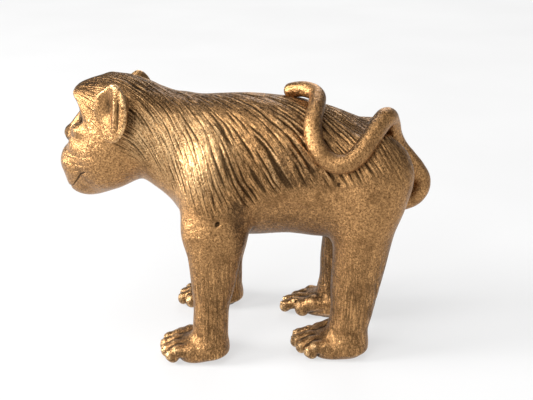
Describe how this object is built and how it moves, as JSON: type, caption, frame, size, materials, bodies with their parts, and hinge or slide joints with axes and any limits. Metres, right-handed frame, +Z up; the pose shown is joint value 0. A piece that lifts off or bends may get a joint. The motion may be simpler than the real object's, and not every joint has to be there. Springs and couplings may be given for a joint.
{
  "type": "standing monkey figurine",
  "caption": "Cast metal ornament of a monkey standing on straight legs, with upright ears and a tail looped over its back, hollow and joined from separate castings on felt pads.",
  "frame": {"origin": "on the floor under the middle of the figure's bounding box", "axes": "+Z up, -X ahead of the monkey's face, +X along the tail end, -Y the monkey's left side, where the tail hangs"},
  "size_m": [0.165, 0.0754, 0.1209],
  "materials": {
    "antique_bronze": "cast, carved fur, dark brown patina in the grooves, rubbed golden on the high places",
    "bare_brass": "sawn and filed, left bare or patinated over",
    "steel_rod": "bright drawn rod, brazed in",
    "felt": "pressed wool felt, cut edge"
  },
  "bodies": {
    "root": {"torso_casting": "antique_bronze", "head_casting": "antique_bronze", "left_ear": "antique_bronze", "right_ear": "antique_bronze", "left_foreleg": "antique_bronze", "right_foreleg": "antique_bronze", "left_hind_leg": "antique_bronze", "right_hind_leg": "antique_bronze", "tail": "antique_bronze", "neck_sleeve": "bare_brass", "neck_pin_1": "bare_brass", "neck_pin_2": "bare_brass", "neck_pin_3": "bare_brass", "neck_pin_4": "bare_brass", "left_foreleg_dowel": "steel_rod", "right_foreleg_dowel": "steel_rod", "left_hind_leg_dowel": "steel_rod", "right_hind_leg_dowel": "steel_rod", "left_foreleg_locating_pin": "steel_rod", "right_foreleg_locating_pin": "steel_rod", "left_hind_leg_locating_pin": "steel_rod", "right_hind_leg_locating_pin": "steel_rod", "tail_dowel": "steel_rod", "tail_rest_pin_1": "steel_rod", "tail_rest_pin_2": "steel_rod", "left_ear_pin": "steel_rod", "right_ear_pin": "steel_rod", "belly_core_plug": "bare_brass", "core_pin_plug_1": "bare_brass", "core_pin_plug_2": "bare_brass", "left_foreleg_pad": "felt", "right_foreleg_pad": "felt", "left_hind_leg_pad": "felt", "right_hind_leg_pad": "felt"}
  },
  "joints": []
}
